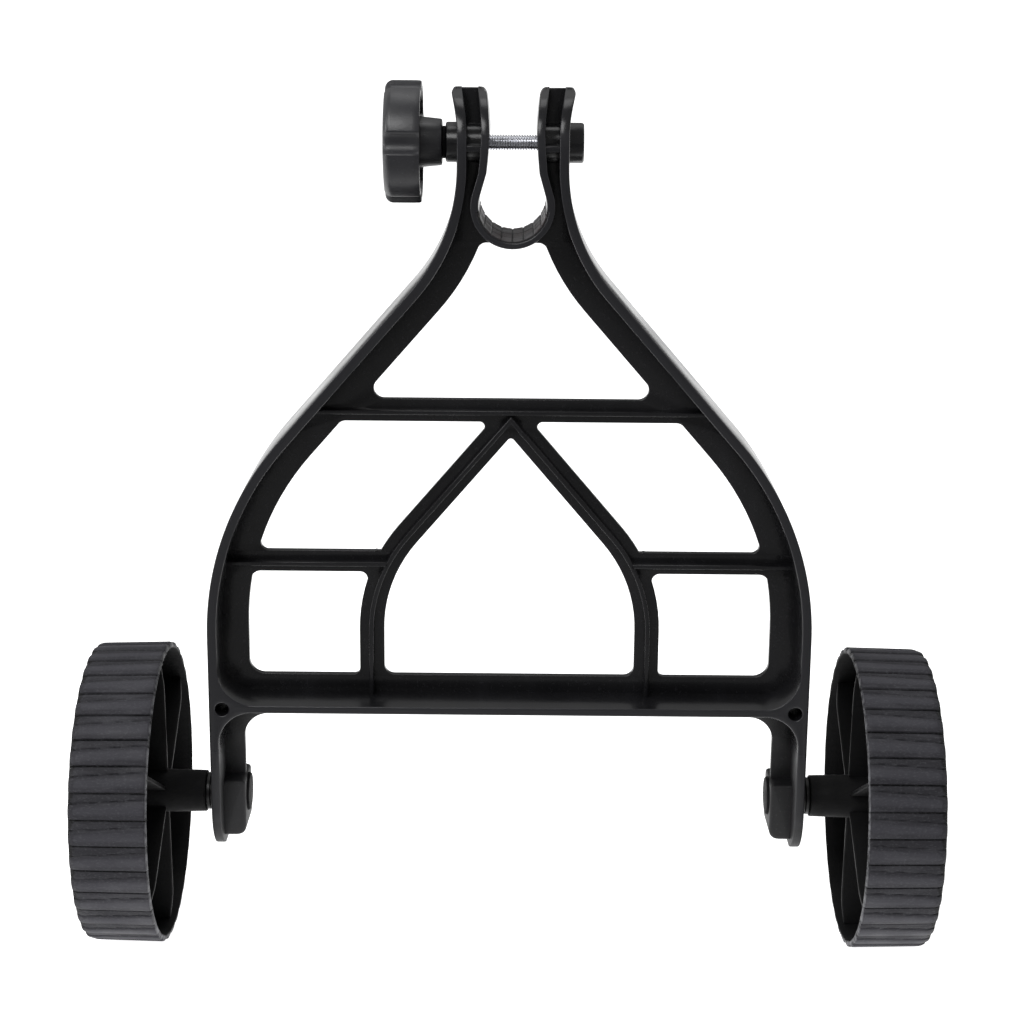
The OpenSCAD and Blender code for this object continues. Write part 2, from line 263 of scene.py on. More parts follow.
def lathe(profile, z, side, count=64, closed=False):
    """A turned shape about a line along X. The profile's points are (distance from the middle, radius)."""
    verts, faces, rings = [], [], []
    for x, r in profile:
        if r < 1e-6:
            rings.append((len(verts), 1))
            verts.append((side * x, 0.0, z))
            continue
        rings.append((len(verts), count))
        for i in range(count):
            a = 2 * math.pi * i / count
            verts.append((side * x, r * math.cos(a), z + r * math.sin(a)))
    pairs = list(zip(rings, rings[1:] + rings[:1])) if closed else list(zip(rings, rings[1:]))
    for (a, na), (b, nb) in pairs:
        for i in range(count):
            j = (i + 1) % count
            if na == 1 and nb == 1:
                break
            if na == 1:
                faces.append((a, b + i, b + j))
            elif nb == 1:
                faces.append((a + i, a + j, b))
            else:
                faces.append((a + i, a + j, b + j, b + i))
    return np.array(verts), faces


def grid(points, wrap_u=True, wrap_v=True):
    """Faces over an array of points, rows by columns, optionally joined round either way."""
    rows, cols = points.shape[:2]
    faces = []
    for i in range(rows if wrap_u else rows - 1):
        for j in range(cols if wrap_v else cols - 1):
            a, b = i * cols + j, i * cols + (j + 1) % cols
            k = (i + 1) % rows
            faces.append((a, b, k * cols + (j + 1) % cols, k * cols + j))
    return points.reshape(-1, 3), faces


def capped(points):
    """A closed tube over an array of points: rows joined round, first and last column filled."""
    verts, faces = grid(points, True, False)
    rows, cols = points.shape[:2]
    faces.append(tuple(i * cols for i in range(rows)))
    faces.append(tuple(i * cols + cols - 1 for i in range(rows)))
    return verts, faces


def circle(count):
    """Angles of evenly spaced points round a full turn."""
    return 2 * np.pi * np.arange(count) / count


def hex_radius(across, angles):
    """A hexagon's radius at each angle, from its width across the flats."""
    return across / 2 / np.cos((angles + np.pi / 6) % (np.pi / 3) - np.pi / 6)


def turned(rows, angles, z, side=1):
    """Points round a line along X. A row is a distance from the middle and a radius, or one per angle."""
    points = np.zeros((len(angles), len(rows), 3))
    for k, (x, radius) in enumerate(rows):
        points[:, k, 0] = side * x
        points[:, k, 1] = radius * np.cos(angles)
        points[:, k, 2] = z + radius * np.sin(angles)
    return points


def spoke(x, along, aside, angle, z):
    """Points of a rib that leaves a line along X at an angle, from their places along and aside of it."""
    y = along * math.cos(angle) - aside * math.sin(angle)
    return np.stack([x, y, z + along * math.sin(angle) + aside * math.cos(angle)], 1)


def piece(name, shells, material, body, stands_for, sharp=32):
    """One object of several closed shells in millimetres, riding on a CAD body in place of CAD nodes."""
    verts, faces = [], []
    for v, f in shells:
        start = len(verts)
        verts += [tuple(c * MM for c in p) for p in np.asarray(v).tolist()]
        faces += [tuple(start + i for i in face) for face in f]
    mesh = bpy.data.meshes.new(name)
    mesh.from_pydata(verts, [], faces)
    work = bmesh.new()
    work.from_mesh(mesh)
    bmesh.ops.recalc_face_normals(work, faces=work.faces)
    work.to_mesh(mesh)
    work.free()
    mesh.shade_smooth()
    mesh.set_sharp_from_angle(angle=math.radians(sharp))
    mesh.materials.append(material)
    made = bpy.data.objects.new(name, mesh)
    bpy.context.scene.collection.objects.link(made)
    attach(made, body)
    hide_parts(*stands_for)


# ---- procedural materials ----


class Paint:
    """A small builder for node materials: one principled shader fed by procedural nodes."""

    def __init__(self, name, color, roughness, metallic=0.0, specular=0.5):
        self.material = bpy.data.materials.new(name)
        self.material.use_nodes = True
        self.tree = self.material.node_tree
        self.shader = self.tree.nodes["Principled BSDF"]
        self.shader.inputs["Metallic"].default_value = metallic
        self.shader.inputs["Roughness"].default_value = roughness
        self.shader.inputs["Specular IOR Level"].default_value = specular
        self.color = self.flat(color)
        self.rough = None
        self.height = None
        self.place = self.node("ShaderNodeTexCoord").outputs["Object"]

    def node(self, kind, **inputs):
        """A new node, its inputs set or linked by name. An underscore stands for a space."""
        made = self.tree.nodes.new(kind)
        for key, value in inputs.items():
            self.feed(made.inputs[key.replace("_", " ")], value)
        return made

    def feed(self, socket, value):
        """Links another node's output to a socket, or sets the socket to a plain value."""
        if isinstance(value, bpy.types.NodeSocket):
            self.tree.links.new(value, socket)
        else:
            socket.default_value = value

    def flat(self, color):
        """The output of a node with one plain colour."""
        made = self.tree.nodes.new("ShaderNodeRGB")
        made.outputs[0].default_value = (*color, 1.0)
        return made.outputs[0]

    def stretch(self, scale):
        """The shaded point with its coordinates scaled, for noise drawn out in a direction."""
        made = self.node("ShaderNodeMapping", Vector=self.place)
        made.inputs["Scale"].default_value = scale
        return made.outputs["Vector"]

    def noise(self, scale, detail=3.0, stretch=None, low=0.4, high=0.6):
        """Noise between 0 and 1, with its contrast set by low and high."""
        vector = self.stretch(stretch) if stretch else self.place
        made = self.node("ShaderNodeTexNoise", Vector=vector, Scale=scale, Detail=detail)
        return self.remap(made.outputs["Fac"], low, high)

    def remap(self, value, low, high, to_low=0.0, to_high=1.0):
        """Brings low to high onto to_low to to_high, and stops at both ends."""
        made = self.node("ShaderNodeMapRange")
        self.feed(made.inputs["Value"], value)
        for key, number in (("From Min", low), ("From Max", high), ("To Min", to_low), ("To Max", to_high)):
            made.inputs[key].default_value = number
        return made.outputs["Result"]

    def math(self, operation, a, b=0.0):
        """The output of one arithmetic node."""
        made = self.node("ShaderNodeMath")
        made.operation = operation
        self.feed(made.inputs[0], a)
        self.feed(made.inputs[1], b)
        return made.outputs[0]

    def axis(self, name):
        """One coordinate of the shaded point, in metres."""
        return self.node("ShaderNodeSeparateXYZ", Vector=self.place).outputs[name]

    def radius(self, level_axis, z):
        """Distance in metres from a level line at height z in millimetres. level_axis crosses that line."""
        up = self.math("SUBTRACT", self.axis("Z"), z * MM)
        squares = [self.math("POWER", value, 2.0) for value in (self.axis(level_axis), up)]
        return self.math("SQRT", self.math("ADD", *squares))

    def tint(self, factor, color, share=1.0):
        """Mixes color in where factor is high."""
        made = self.node("ShaderNodeMix")
        made.data_type = "RGBA"
        self.feed(made.inputs["Factor"], self.math("MULTIPLY", factor, share))
        self.feed(made.inputs[6], self.color)
        self.feed(made.inputs[7], (*color, 1.0))
        self.color = made.outputs[2]

    def roughen(self, factor, low, high):
        """Roughness from low to high as factor goes from 0 to 1."""
        self.rough = self.remap(factor, 0.0, 1.0, low, high)

    def raise_by(self, factor, amount):
        """Adds to the height the bump is made from, in metres."""
        part = self.math("MULTIPLY", factor, amount)
        self.height = part if self.height is None else self.math("ADD", self.height, part)

    def done(self):
        """Wires colour, roughness and bump to the shader and returns the material."""
        self.feed(self.shader.inputs["Base Color"], self.color)
        if self.rough is not None:
            self.feed(self.shader.inputs["Roughness"], self.rough)
        if self.height is not None:
            bump = self.node("ShaderNodeBump", Height=self.height, Strength=1.0, Distance=1.0)
            self.feed(self.shader.inputs["Normal"], bump.outputs["Normal"])
        return self.material


def frame_plastic():
    """Glossy black with painted light that makes the front and back edges a little paler, and rougher on the leg
    ends.
    """
    p = Paint("frame_plastic", (0.0058, 0.0058, 0.0068), 0.3, specular=0.42)
    p.tint(p.noise(22, 4, low=0.42, high=0.62), (0.0095, 0.0095, 0.0108), 0.8)
    p.tint(p.noise(70, 3, stretch=(1, 0.3, 0.25), low=0.5, high=0.72), (0.015, 0.015, 0.0172), 0.5)
    p.tint(p.noise(900, 2, low=0.62, high=0.72), (0.03, 0.03, 0.033), 0.35)
    # Painted light: the front and back faces and their rounded edges are tinted paler, as if catching light.
    rim = p.remap(p.math("ABSOLUTE", p.axis("Y")), (HALF_D - 1.2) * MM, (HALF_D - 0.5) * MM)
    p.tint(rim, (0.019, 0.019, 0.0218), 0.9)
    leg_end = p.remap(p.axis("Z"), GLOSS_Z * MM, MATT_Z * MM)
    grain = p.math("MULTIPLY", p.noise(35, 5, low=0.35, high=0.65), 0.15)
    p.roughen(p.math("ADD", grain, p.math("MULTIPLY", leg_end, 0.7)), 0.18, 0.68)
    p.raise_by(p.noise(900, 3, low=0.3, high=0.7), 0.000008)
    p.raise_by(p.noise(45, 2, low=0.3, high=0.7), 0.00006)
    return p.done()


def wheel_plastic():
    """Dull charcoal, with painted highlight that makes the lugs' crests and the rim lip paler, black inside, and
    black in the grooves with painted shade.
    """
    p = Paint("wheel_plastic", (0.034, 0.0332, 0.0395), 0.62, specular=0.2)
    p.tint(p.noise(26, 4, low=0.42, high=0.62), (0.026, 0.0254, 0.0305), 0.8)
    across = p.math("ABSOLUTE", p.axis("X"))
    radius = p.radius("Y", AXLE_Z)
    tread_end = TREAD_R - TREAD_FALL
    crest = p.remap(across, IN_X * MM, (IN_X + TREAD_RUN) * MM, TREAD_R * MM, tread_end * MM)
    below = p.math("SUBTRACT", crest, radius)
    # Painted light by depth below the crest: paler crests are painted highlight, darker facets and black grooves
    # are painted shade.
    p.tint(p.remap(below, 0.2 * MM, 0.04 * MM), (0.052, 0.051, 0.06), 0.8)
    p.tint(p.remap(below, 0.4 * MM, 0.6 * MM), (0.022, 0.0215, 0.0255), 0.7)
    p.tint(p.remap(below, 0.86 * MM, 1.1 * MM), (0.005, 0.005, 0.0055), 0.95)
    p.tint(p.noise(320, 3, stretch=(0.16, 1, 1), low=0.5, high=0.7), (0.075, 0.074, 0.084), 0.35)
    p.tint(p.noise(1700, 3, stretch=(0.5, 1, 1), low=0.52, high=0.7), (0.1, 0.1, 0.11), 0.3)
    # Painted highlight: a patchy pale band along the rim's inner lip.
    lip = p.remap(across, (IN_X + 0.7) * MM, (IN_X + 0.1) * MM)
    p.tint(p.math("MULTIPLY", lip, p.noise(420, 3, low=0.36, high=0.6)), (0.2, 0.2, 0.215), 0.8)
    p.tint(p.remap(radius, LIP_R * MM, (LIP_R - 0.6) * MM), (0.0045, 0.0045, 0.005), 1.0)
    p.roughen(p.noise(60, 4, low=0.35, high=0.65), 0.5, 0.72)
    p.raise_by(p.noise(420, 3, stretch=(0.2, 1, 1), low=0.3, high=0.7), 0.00006)
    p.raise_by(p.noise(1500, 3, low=0.3, high=0.7), 0.000025)
    return p.done()


def knob_plastic():
    """Black with a soft sheen and fine pale specks."""
    p = Paint("knob_plastic", (0.0195, 0.0195, 0.0228), 0.34, specular=0.5)
    p.tint(p.noise(60, 3, low=0.42, high=0.62), (0.028, 0.028, 0.031), 0.7)
    p.tint(p.noise(1200, 2, low=0.64, high=0.73), (0.07, 0.07, 0.076), 0.4)
    p.roughen(p.noise(90, 4, low=0.35, high=0.65), 0.28, 0.4)
    p.raise_by(p.noise(1300, 3, low=0.3, high=0.7), 0.000015)
    return p.done()


def trim_plastic():
    """Deep black for the spacers and the hub caps."""
    p = Paint("trim_plastic", (0.004, 0.004, 0.004), 0.34, specular=0.3)
    p.tint(p.noise(120, 3, low=0.42, high=0.62), (0.009, 0.009, 0.010), 0.8)
    p.roughen(p.noise(200, 4, low=0.35, high=0.65), 0.28, 0.42)
    p.raise_by(p.noise(160, 2, low=0.3, high=0.7), 0.00002)
    return p.done()


def grip_liner():
    """Dusty dark grey, with painted shade that darkens the grooves between its blocks."""
    p = Paint("grip_liner", (0.062, 0.05, 0.052), 0.5, specular=0.2)
    p.tint(p.noise(90, 3, low=0.42, high=0.62), (0.1, 0.1, 0.104), 0.8)
    p.tint(p.noise(900, 2, low=0.55, high=0.7), (0.07, 0.07, 0.073), 0.5)
    # Painted shade in the grooves: points further from the bore's axis are tinted darker.
    groove = p.remap(p.radius("X", TUBE_Z), (BORE_R + 0.1) * MM, (BORE_R + 0.3) * MM)
    p.tint(groove, (0.02, 0.02, 0.021), 0.9)
    p.roughen(p.noise(150, 4, low=0.35, high=0.65), 0.32, 0.5)
    p.raise_by(p.noise(700, 3, low=0.3, high=0.7), 0.00003)
    return p.done()


def zinc_steel():
    """Bright plating, with painted shade at the root of the screw's thread."""
    p = Paint("zinc_steel", (0.93, 0.94, 0.98), 0.28, metallic=1.0)
    p.tint(p.noise(300, 3, low=0.42, high=0.62), (0.8, 0.81, 0.86), 0.6)
    p.tint(p.noise(900, 2, low=0.6, high=0.72), (0.5, 0.5, 0.52), 0.3)
    root_r = SCREW_R - THREAD_D
    # Painted shade: the thread's root is tinted darker.
    root = p.remap(p.radius("Y", SCREW_Z), (root_r + 0.22) * MM, (root_r + 0.02) * MM)
    p.tint(root, (0.12, 0.12, 0.13), 0.35)
    p.roughen(p.noise(500, 4, low=0.35, high=0.65), 0.18, 0.32)
    return p.done()


def black_steel():
    """Dull black finish of the axles and the knob's washer."""
    p = Paint("black_steel", (0.005, 0.005, 0.0055), 0.55, specular=0.3)
    p.shader.inputs["IOR"].default_value = 1.12
    p.tint(p.noise(140, 3, low=0.42, high=0.62), (0.012, 0.012, 0.013), 0.8)
    p.tint(p.noise(1200, 2, low=0.62, high=0.72), (0.03, 0.03, 0.031), 0.4)
    p.roughen(p.noise(200, 4, low=0.35, high=0.65), 0.5, 0.62)
    p.raise_by(p.noise(900, 3, low=0.3, high=0.7), 0.00002)
    return p.done()


FRAME_PLASTIC = frame_plastic()
WHEEL_PLASTIC = wheel_plastic()
KNOB_PLASTIC = knob_plastic()
TRIM_PLASTIC = trim_plastic()
GRIP_LINER = grip_liner()
ZINC_STEEL = zinc_steel()
BLACK_STEEL = black_steel()

# ---- frame ----


def eased(size, into):
    """Step back of a rounded corner: none at into 0 and the full size at into 1."""
    return size * (1 - math.sqrt(1 - min(1.0, max(0.0, into)) ** 2))


def tip_ease(z):
    """How far the outer corner of a leg end or an ear is rounded away at a height."""
    if z > TUBE_Z:
        return eased(2.6, 1 - (TOP_Z - z) / 2.6)
    return eased(1.4, 1 - (z - LEG_END) / 1.6)


def side_path(d):
    """The frame's right contour moved inwards by d, from the leg's end to the ear's end."""
    shoulder_r, neck_x = HALF_W - d, NECK_W / 2 - d
    swing = 90 - LEAN
    bends = np.radians(np.linspace(0, 90, 19))
    path = [(shoulder_r, AXLE_Z - HALF_D * math.cos(a)) for a in bends]
    path += arc(0, SHOULDER_Z, shoulder_r, 0, swing, 28)
    path += arc(NECK_W / 2 + NECK_R, NECK_Z, NECK_R + d, 180 + swing, 180, 24)
    flare = FLARE * (1 - 0.2 * d / FLANGE)
    for z in [SCREW_Z + HALF_D * math.sin(a) for a in bends]:
        rise = max(0, (z - FLARE_Z) / (TOP_Z - FLARE_Z))
        path.append((neck_x + flare * rise ** FLARE_CURVE, z))
    return [(x - tip_ease(z), z) for x, z in path] if d == 0 else path


def side_x(z, d):
    """The contour moved inwards by d, at a height on the shoulder curve or the straight side."""
    line = (SHOULDER_Z * math.sin(TILT) + HALF_W - d - z * math.sin(TILT)) / math.cos(TILT)
    return min(line, math.sqrt((HALF_W - d) ** 2 - (z - SHOULDER_Z) ** 2))


def throat_path(grow):
    """Right half of the clamp bore and the throat above it, from the bottom to the top.

    grow moves it outwards. Without it the path has the liner's seat and a rounded upper corner.
    """
    gap = EAR_GAP + grow
    start = math.degrees(math.atan2(3, gap + 3.5))
    if grow:
        path = arc(0, TUBE_Z, BORE_R + grow, -90, start, 30)
    else:
        path = arc(0, TUBE_Z, BORE_R + LINER - 0.05, -90, -9, 30) + arc(0, TUBE_Z, BORE_R, -8, start, 5)
    flare_z = SCREW_Z + 4
    corners = [(gap + 1, TUBE_Z + 12), (gap + 0.4, SCREW_Z - 3), (gap, flare_z)]
    for z in [SCREW_Z + HALF_D * math.sin(a) for a in np.radians(np.linspace(12, 90, 16))]:
        flare = 1.5 * max(0.0, (z - flare_z) / (TOP_Z - flare_z)) ** FLARE_CURVE
        corners.append((gap + flare + eased(0 if grow else 2.2, 1 - (TOP_Z - z) / 3.2), z))
    return path + soften(corners, 2.5, 3)


def round_end(z):
    """Half depth of the frame at each height: round at the leg ends and at the ears."""
    z = np.asarray(z)
    over = np.maximum(np.maximum(z - SCREW_Z, AXLE_Z - z), 0)
    return np.sqrt(np.maximum(HALF_D ** 2 - over ** 2, 0))


def web_section(cut_y=-1.0):
    """The CAD frame cut across Y: each point of the cut with the points next to it."""
    mesh = frame["nodes"]["frame"].data
    mesh.calc_loop_triangles()
    points = np.array([v.co for v in mesh.vertices]) / MM
    level = points[:, 1] - cut_y
    ahead = {}
    for t in mesh.loop_triangles:
        ids = list(t.vertices)
        signs = [level[i] > 0 for i in ids]
        if all(signs) or not any(signs):
            continue
        cut = []
        for a, b in zip(ids, ids[1:] + ids[:1]):
            if (level[a] > 0) != (level[b] > 0):
                s = level[a] / (level[a] - level[b])
                p = points[a] + s * (points[b] - points[a])
                cut.append((round(float(p[0]), 3), round(float(p[2]), 3)))
        if cut[0] != cut[1]:
            ahead.setdefault(cut[0], []).append(cut[1])
            ahead.setdefault(cut[1], []).append(cut[0])
    return ahead


def window_loops():
    """The web's windows, followed round the cut through the CAD frame, and mirrored from the right."""
    ahead = web_section()
    loops, used = [], set()
    for start in ahead:
        if start in used:
            continue
        loop, at = [start], start
        used.add(start)
        while True:
            onward = [q for q in ahead[at] if q not in used]
            if not onward:
                break
            at = onward[0]
            used.add(at)
            loop.append(at)
        x, z = np.array(loop).T
        inside = abs(x).max() < HALF_W - 8 and z.min() > BAR_Z and z.max() < TUBE_Z - BORE_R
        if inside and len(loop) > 3 and x.max() > 0:
            loops.append(loop)
            if x.min() > 0:
                loops.append(mirrored(loop))
    return loops


def band_shell(holes):
    """The full-depth rim: bar, legs and sides up to the ears' tips."""
    floor, leg_x = BAR_Z + BAR_T, HALF_W - FLANGE
    under_r, upper_r = 13, 14
    leg = [(leg_x, AXLE_Z - HALF_D * math.cos(a)) for a in np.radians(np.linspace(90, 0, 19))]
    right = [(0, BAR_Z)] + arc(leg_x - under_r, BAR_Z - under_r, under_r, 90, 0)
    right += [(x + tip_ease(z), z) for x, z in leg] + side_path(0)
    right += [p for p in side_path(FLANGE) if p[1] > floor + upper_r][::-1]
    right += arc(leg_x - upper_r, floor + upper_r, upper_r, 0, -90) + [(0, floor)]
    return slab([right + mirrored(right)[1:-1]] + holes, round_end, 0.55)


def ring_shell():
    """The clamp ring round the bore and the ears' inner walls."""
    outer, tube = throat_path(RING), throat_path(0)
    ring = mirrored(outer)[:-1] + outer + tube[::-1] + mirrored(tube)[::-1][1:]
    return slab([ring], round_end, 0.45)


def web_shell(holes):
    """The web in the mid plane, from the leg ends to the ears, with its windows."""
    top, low, corner_r = TOP_Z - 0.15, AXLE_Z - 2, 9.5
    half = [(0, UNDER_Z)] + arc(LEG_WEB_X - corner_r, UNDER_Z - corner_r, corner_r, 90, 0)
    half += [(LEG_WEB_X, low), (HALF_W - 2, low)]
    half += [p for p in side_path(FLANGE / 2) if AXLE_Z - 1 < p[1] < top]
    throat = [p for p in throat_path(RING / 2) if p[1] < top]
    web = half + throat[::-1] + mirrored(throat)[::-1][1:] + mirrored(half)[:-1]
    return slab([web] + window_loops() + holes, WEB, 0.3)


def level_rib(x0, x1, z):
    """A straight level rib on the web."""
    low, high = z - RIB_T / 2, z + RIB_T / 2
    return slab([[(x0, low), (x1, low), (x1, high), (x0, high)]], RIB_D, RIB_SOFT)


def arch_path(d):
    """Right half of the arch moved outwards by d, from the bar to the middle."""
    path = [(ARCH_HALF + d, BAR_Z + 1)]
    path += arc(ARCH_HALF - ARCH_R, ARCH_Z, ARCH_R + d, 0, 90 - ARCH_LEAN)
    x, z = path[-1]
    return path + [(0, z + x * math.tan(math.radians(ARCH_LEAN)))]


def rib_shells():
    """The cross rib under the clamp, a short rib each side of the arch, and the arch."""
    reach = side_x(CROSS_Z, FLANGE / 2)
    start = ARCH_HALF - ARCH_R + math.sqrt(ARCH_R ** 2 - (MID_Z - ARCH_Z) ** 2)
    end = side_x(MID_Z, FLANGE / 2)
    outer, inner = arch_path(RIB_T / 2), arch_path(-RIB_T / 2)
    arch = outer + mirrored(outer)[1:] + mirrored(inner)[::-1][:-1] + inner[::-1]
    shells = [level_rib(-reach, reach, CROSS_Z)]
    shells += [level_rib(side * start, side * end, MID_Z) for side in (1, -1)]
    return shells + [slab([arch], RIB_D, RIB_SOFT)]


def shelf(side):
    """Shelf from an ear's inner wall to the flange at the screw's height, almost full depth."""
    low, high, end = SCREW_Z - 1.9, SCREW_Z + 0.3, 18.8
    loop = [(COLLAR_X, low), (end, low), (end, high), (COLLAR_X, high)]
    return slab([[(side * x, z) for x, z in loop]], HALF_D - 1, 0.3)


def plain_collar():
    """Collar on the left ear, which the knob's washer bears on."""
    profile = [(COLLAR_X, COLLAR_BORE), (COLLAR_X, COLLAR_R), (LEFT_COLLAR_X, COLLAR_R),
               (LEFT_COLLAR_X, COLLAR_BORE)]
    return lathe(soften(profile, [0, 0, 0.9, 0.5], closed=True), SCREW_Z, -1, closed=True)


def nut_collar(across=10.1, floor=20.8):
    """Collar on the right ear with a hexagonal pocket for the nut."""
    end, angles = RIGHT_COLLAR_X, circle(96)
    flats = hex_radius(across, angles)
    rows = [(COLLAR_X, COLLAR_BORE), (COLLAR_X, COLLAR_R), (end - 0.8, COLLAR_R), (end - 0.25, 7.25),
            (end, 6.9), (end, flats + 0.25), (end - 0.2, flats + 0.05), (end - 0.6, flats), (floor, flats),
            (floor, COLLAR_BORE)]
    return grid(turned(rows, angles, SCREW_Z))


def leg_boss(side):
    """Block behind a leg's end that carries the axle, its lower inner corner rounded."""
    outer_x = HALF_W - FLANGE + 1
    loop = [(BOSS_X, BOSS_TOP), (BOSS_X, BOSS_LOW), (outer_x, BOSS_LOW), (outer_x, BOSS_TOP)]
    loop = soften(loop, [1.8, 6.5, 0, 0], 8, closed=True)
    return slab([[(side * x, z) for x, z in loop]], BOSS_D, 1.2, 5)


def frame_shells():
    """All of the moulding's parts, which overlap a little where they join."""
    holes = [arc(side * HOLE_X, HOLE_Z, HOLE_R, 0, 360, 32)[:-1] for side in (1, -1)]
    shells = [band_shell(holes), ring_shell(), web_shell(holes), *rib_shells()]
    shells += [shelf(-1), plain_collar(), shelf(1), nut_collar()]
    return shells + [leg_boss(1), leg_boss(-1)]


piece("frame_moulding", frame_shells(), FRAME_PLASTIC, "stand", ["frame"])

# ---- clamp ----


def liner_shell():
    """The grip liner: blocks between fine grooves on its inner side."""
    length = cad("tube_liner")[1][1]
    outer_r = BORE_R + LINER
    rows, cols = 121, 81
    angles = np.radians(np.linspace(-170, -10, rows))
    along = np.linspace(-length, length, cols)
    grooves_at = np.radians(np.linspace(-164, -16, 9))
    bands_at = (-length * 0.42, length * 0.12, length * 0.66)
    inner = np.zeros((rows, cols, 3))
    for i, a in enumerate(angles):
        groove = np.min(np.abs(grooves_at - a)) * BORE_R
        for j, y in enumerate(along):
            band = min(abs(y - b) for b in bands_at)
            dip = max(0.0, 1 - groove / 0.45, 1 - band / 0.6)
            edge = min(1.0, (length - abs(y)) / 0.5)
            r = BORE_R + 0.45 * dip + 0.25 * (1 - edge)
            inner[i, j] = (r * math.cos(a), y, TUBE_Z + r * math.sin(a))
    outer = inner.copy()
    outer[:, :, 0] = (outer_r * np.cos(angles))[:, None]
    outer[:, :, 2] = (TUBE_Z + outer_r * np.sin(angles))[:, None]
    skin = np.concatenate([inner, outer[:, ::-1]], 1)
    verts, faces = grid(skin, False, True)
    count = skin.shape[1]
    for row in (0, rows - 1):
        for j in range(cols - 1):
            a = row * count
            faces.append((a + j, a + j + 1, a + count - 2 - j, a + count - 1 - j))
    return verts, faces


def screw_shell():
    """M6 thread with a real 1 mm pitch and a chamfered end."""
    low, high = cad("clamp_screw")
    x = np.arange(low[0] + 0.5, high[0] + 0.01, 0.1)
    angles = circle(36)
    phase = (x[None, :] / PITCH + angles[:, None] / (2 * np.pi)) % 1
    ridge = np.clip(1.25 - 3.0 * np.abs(phase - 0.5), 0, 1)
    tail = np.clip((high[0] - x) / 0.9, 0, 1)
    r = np.minimum(SCREW_R - THREAD_D * (1 - ridge), 2.35 + 0.65 * tail[None, :])
    return capped(turned(list(zip(x, r.T)), angles, SCREW_Z))


def hexagon(across, x0, x1, z, bore, side=1, chamfer=0.6):
    """A hexagonal head or nut with turned, chamfered faces."""
    angles = circle(96)
    flats = hex_radius(across, angles)
    middle = np.minimum(flats, across / 2 / math.cos(math.pi / 6) * 0.995)
    near = np.minimum(flats, across / 2 * 1.03)
    face, mouth = across / 2 * 0.97, bore + 0.35
    rows = [(x0, mouth), (x0, face), (x0 + chamfer * 0.3, near), (x0 + chamfer, middle),
            (x1 - chamfer, middle), (x1 - chamfer * 0.3, near), (x1, face), (x1, mouth),
            (x1 - 0.4, bore), (x0 + 0.4, bore)]
    return grid(turned(rows, angles, z, side))


def knob_outline(size, angles, soft=0.9):
    """The knob's radius at each angle: a circle of the given size with round notches and eased corners."""
    notch_r, notch_at = 4.65, KNOB_R + 2.1
    centre_at = notch_at - (KNOB_R - size) * 0.15
    cut_r = notch_r + (KNOB_R - size) * 0.35
    radius = np.full(len(angles), size)
    for middle in np.radians([KNOB_TURN + 360 * i / LOBES for i in range(LOBES)]):
        away = (angles - middle + np.pi) % (2 * np.pi) - np.pi
        reach = cut_r ** 2 - (centre_at * np.sin(away)) ** 2
        inside = (np.abs(away) < 0.6) & (reach > 0)
        edge = np.where(inside, centre_at * np.cos(away) - np.sqrt(np.maximum(reach, 0)), 99.0)
        h = np.clip(0.5 + 0.5 * (edge - radius) / soft, 0, 1)
        radius = edge * (1 - h) + radius * h - soft * h * (1 - h) * np.where(edge < 60, 1, 0)
    return radius


def knob_skin():
    """The knob's lobed rim, domed face, hollow back and tapered hub, turned as one closed shape."""
    low, high = cad("knob")
    front, back, hub_end = -low[0], KNOB_BACK, -high[0]
    angles, edge_r = circle(360), 3.0
    rim = [(back + 0.25, 0.35), (back + 0.8, 0.08), (back + 3, 0), (front - 3.9, 0)]
    for a in np.radians(np.linspace(12, 90, 8)):
        rim.append((front - 3.9 + 3.1 * math.sin(a), edge_r * (1 - math.cos(a))))
    rows = [(x, knob_outline(KNOB_R - less, angles)) for x, less in rim]
    full, face = knob_outline(KNOB_R, angles), knob_outline(KNOB_R - edge_r, angles)
    for share in np.linspace(0.9, 0.06, 10):
        blend = max(0.0, (share - 0.62) / 0.28)
        ring = face * share * blend + (KNOB_R - edge_r) * share * (1 - blend)
        rows.append((front - 0.8 + 0.8 * (1 - share ** 2), ring))
    inner = full - 2.4
    inside = [(back + 0.25, inner + 0.3), (back + 0.8, inner), (back + 8.6, np.minimum(inner - 0.3, 19.6)),
              (back + 9.4, np.minimum(inner - 1.2, 18.6)), (back + 9.5, 11.0), (back + 9.2, 9.6),
              (back + 8.0, 9.4), (back + 0.2, 9.35), (hub_end + 0.6, 8.62), (hub_end + 0.12, 8.4),
              (hub_end, 7.9), (hub_end, 3.1), (hub_end + 3, 3.05)]
    return capped(turned(rows[::-1] + inside, angles, SCREW_Z, -1))


def knob_rib(angle):
    """One rib between hub and rim in the knob's hollow back."""
    along = np.array([9.0, 20.3, 20.3, 9.0])
    aside = np.array([-0.8, -0.8, 0.8, 0.8])
    ends = []
    for depth, shrink in ((2.2, 0.25), (2.6, 0.0), (9.6, 0.0)):
        x = np.full(4, -(KNOB_BACK + depth))
        ends.append(spoke(x, along, aside * (1 - shrink), angle, SCREW_Z))
    return capped(np.stack(ends, 1))


def knob_shells():
    """The knob's skin and a rib behind each lobe."""
    middles = [math.radians(KNOB_TURN + 180 / LOBES + 360 * i / LOBES) for i in range(LOBES)]
    return [knob_skin()] + [knob_rib(a) for a in middles]


def washer_shell():
    """Plain washer between the knob's hub and the left collar."""
    x0, x1, outer_r, bore = 25.25, 26.45, 6, 3.2
    ring = soften([(x0, bore), (x0, outer_r), (x1, outer_r), (x1, bore)], 0.3, closed=True)
    return lathe(ring, SCREW_Z, -1, closed=True)


def clamp_nut_shell():
    """The M6 nut, as long as the CAD's."""
    low, high = cad("clamp_nut")
    return hexagon(9.98, low[0], high[0], SCREW_Z, 3.05)


